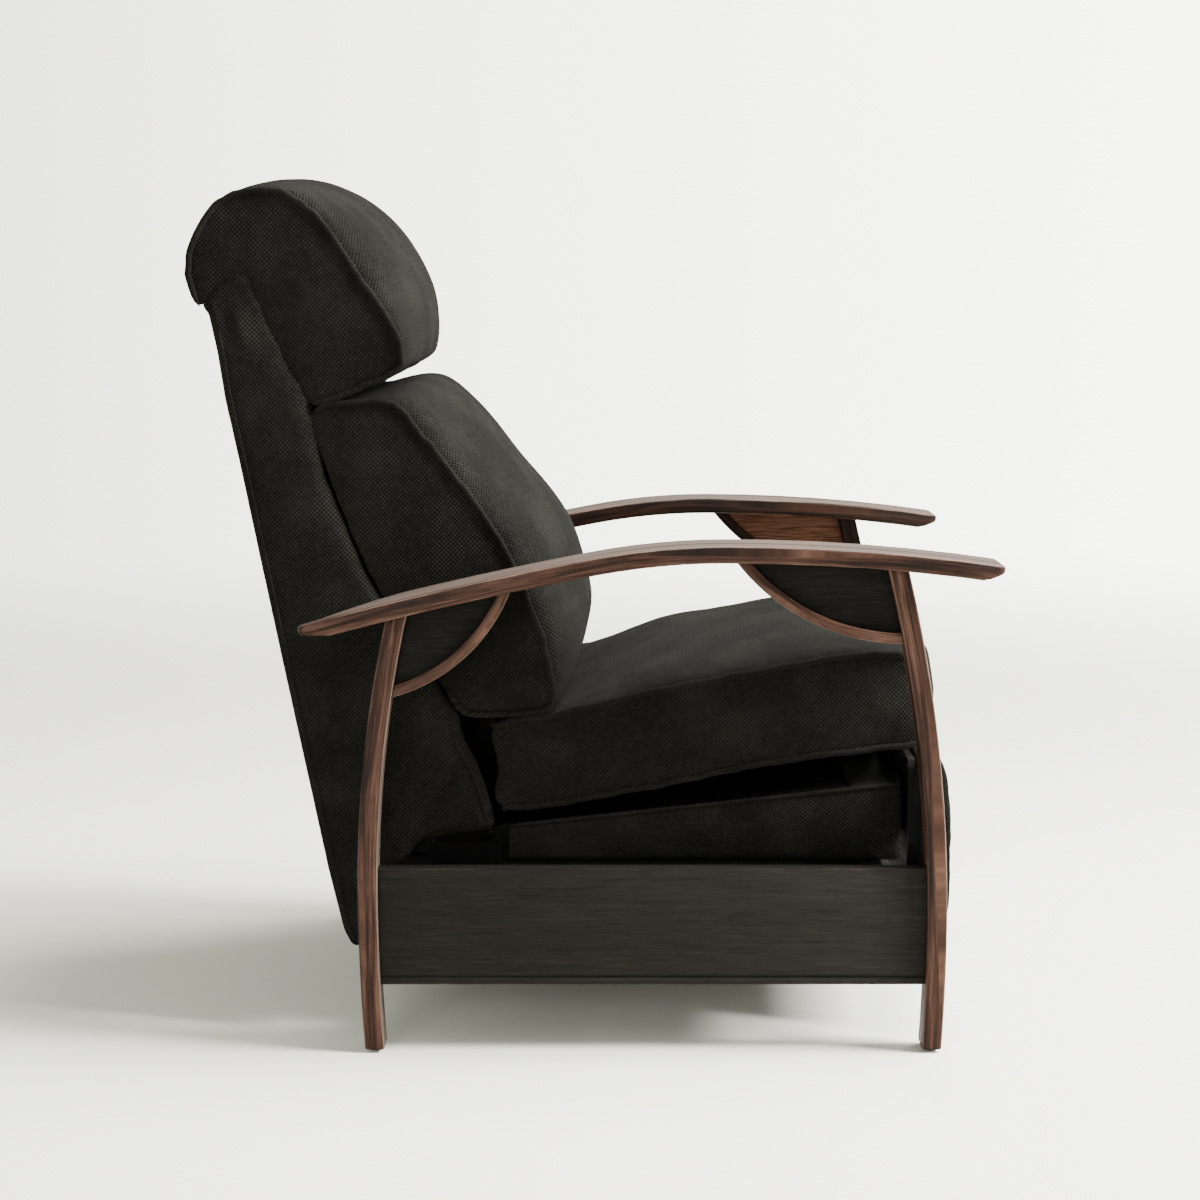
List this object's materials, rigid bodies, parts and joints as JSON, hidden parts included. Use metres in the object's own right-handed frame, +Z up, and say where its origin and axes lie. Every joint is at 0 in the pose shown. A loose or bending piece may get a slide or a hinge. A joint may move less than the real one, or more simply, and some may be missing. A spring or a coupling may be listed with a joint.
{
  "type": "recliner",
  "caption": "Push-back recliner with bent-wood arms and legs, corner brackets, board sides, a roll-top pillow back, boxed seat and folding footrest.",
  "frame": {"origin": "on the floor, under the middle of the chair's overall width and depth", "axes": "+Z up; the chair faces -Y; +X is the sitter's left"},
  "size_m": [0.78, 0.998, 1.0695],
  "materials": {
    "bent_wood": "weathered dark red-brown stain with worn edges, satin",
    "panel_wood": "wire-brushed near-black stain, matte",
    "inner_wood": "plain unfinished frame timber",
    "footrest_wood": "plain plywood",
    "upholstery": "charcoal basketweave chenille, matte",
    "webbing": "woven jute strap",
    "black_steel": "satin black paint",
    "zinc_steel": "zinc-plated",
    "spring_steel": "drawn wire",
    "glide_plastic": "dark nylon glide"
  },
  "bodies": {
    "base_frame": {"arm_left": "bent_wood", "arm_right": "bent_wood", "front_leg_left": "bent_wood", "front_leg_right": "bent_wood", "rear_leg_left": "bent_wood", "rear_leg_right": "bent_wood", "front_bracket_rim_left": "bent_wood", "front_bracket_rim_right": "bent_wood", "front_bracket_panel_left": "panel_wood", "front_bracket_panel_right": "panel_wood", "rear_bracket_rim_left": "bent_wood", "rear_bracket_rim_right": "bent_wood", "rear_bracket_panel_left": "panel_wood", "rear_bracket_panel_right": "panel_wood", "side_rail_left": "panel_wood", "side_rail_right": "panel_wood", "front_stretcher": "panel_wood", "rear_stretcher": "panel_wood", "leg_glides": "glide_plastic", "base_bolts": "zinc_steel", "mechanism_base_left": "black_steel", "mechanism_base_right": "black_steel", "base_rivets": "zinc_steel"},
    "rear_swing_links": {"rear_swing_link_left": "black_steel", "rear_swing_link_right": "black_steel"},
    "front_swing_links": {"front_swing_link_left": "black_steel", "front_swing_link_right": "black_steel"},
    "seat_carriage": {"seat_rail_left": "black_steel", "seat_rail_right": "black_steel", "seat_box_side_left": "inner_wood", "seat_box_side_right": "inner_wood", "seat_box_cross_rails": "inner_wood", "seat_springs": "spring_steel", "seat_borders": "upholstery", "seat_deck": "upholstery", "seat_cushion": "upholstery", "seat_rivets": "zinc_steel"},
    "back": {"back_bracket_left": "black_steel", "back_bracket_right": "black_steel", "back_stile_left": "inner_wood", "back_stile_right": "inner_wood", "back_cross_rails": "inner_wood", "back_webbing": "webbing", "back_outer_panel": "upholstery", "back_side_panel_left": "upholstery", "back_side_panel_right": "upholstery", "head_cushion": "upholstery", "lumbar_cushion": "upholstery"},
    "footrest_drive_links": {"footrest_drive_link_left": "black_steel", "footrest_drive_link_right": "black_steel"},
    "footrest_main_links": {"footrest_main_link_left": "black_steel", "footrest_main_link_right": "black_steel"},
    "footrest_guide_links": {"footrest_guide_link_left": "black_steel", "footrest_guide_link_right": "black_steel"},
    "footrest_tilt_links": {"footrest_tilt_link_left": "black_steel", "footrest_tilt_link_right": "black_steel"},
    "footrest": {"footrest_bracket_left": "black_steel", "footrest_bracket_right": "black_steel", "footrest_board": "footrest_wood", "footrest_pad": "upholstery"}
  },
  "joints": [
    {"name": "recline", "type": "hinge", "parent": "base_frame", "child": "rear_swing_links", "pos_m": [0, 0.045, 0.122], "axis": [1, 0, 0], "range_deg": [0, 60]},
    {"name": "rear_link_top", "type": "hinge", "parent": "rear_swing_links", "child": "seat_carriage", "pos_m": [0, 0.09949, 0.19982], "axis": [1, 0, 0], "range_deg": [-60, 0]},
    {"name": "front_link_base", "type": "hinge", "parent": "base_frame", "child": "front_swing_links", "pos_m": [0, -0.3, 0.122], "axis": [1, 0, 0], "range_deg": [0, 60]},
    {"name": "back_hinge", "type": "hinge", "parent": "seat_carriage", "child": "back", "pos_m": [0, 0.215, 0.2], "axis": [-1, 0, 0], "range_deg": [0, 28.01]},
    {"name": "footrest_drive", "type": "hinge", "parent": "seat_carriage", "child": "footrest_drive_links", "pos_m": [0, -0.3382, 0.1898], "axis": [-1, 0, 0], "range_deg": [0, 84]},
    {"name": "footrest_knee", "type": "hinge", "parent": "footrest_drive_links", "child": "footrest_main_links", "pos_m": [0, -0.4039, 0.1075], "axis": [-1, 0, 0], "range_deg": [-136.35, 0]},
    {"name": "footrest_pivot", "type": "hinge", "parent": "footrest_main_links", "child": "footrest", "pos_m": [0, -0.4203, 0.306], "axis": [-1, 0, 0], "range_deg": [0, 136.35]},
    {"name": "footrest_tilt", "type": "hinge", "parent": "footrest_drive_links", "child": "footrest_tilt_links", "pos_m": [0, -0.39273, 0.14382], "axis": [-1, 0, 0], "range_deg": [-136.35, 0]},
    {"name": "footrest_guide", "type": "hinge", "parent": "seat_carriage", "child": "footrest_guide_links", "pos_m": [0, -0.2579, 0.2032], "axis": [-1, 0, 0], "range_deg": [0, 64.62]}
  ],
  "couplings": [
    {"joint": "rear_link_top", "follows": "recline", "ratio": -1},
    {"joint": "front_link_base", "follows": "recline", "ratio": 1},
    {"joint": "back_hinge", "follows": "recline", "ratio": 0.46667},
    {"joint": "footrest_knee", "follows": "footrest_drive", "ratio": -1.6231},
    {"joint": "footrest_pivot", "follows": "footrest_drive", "ratio": 1.6231},
    {"joint": "footrest_tilt", "follows": "footrest_drive", "ratio": -1.6231},
    {"joint": "footrest_guide", "follows": "footrest_drive", "ratio": 0.7692}
  ]
}
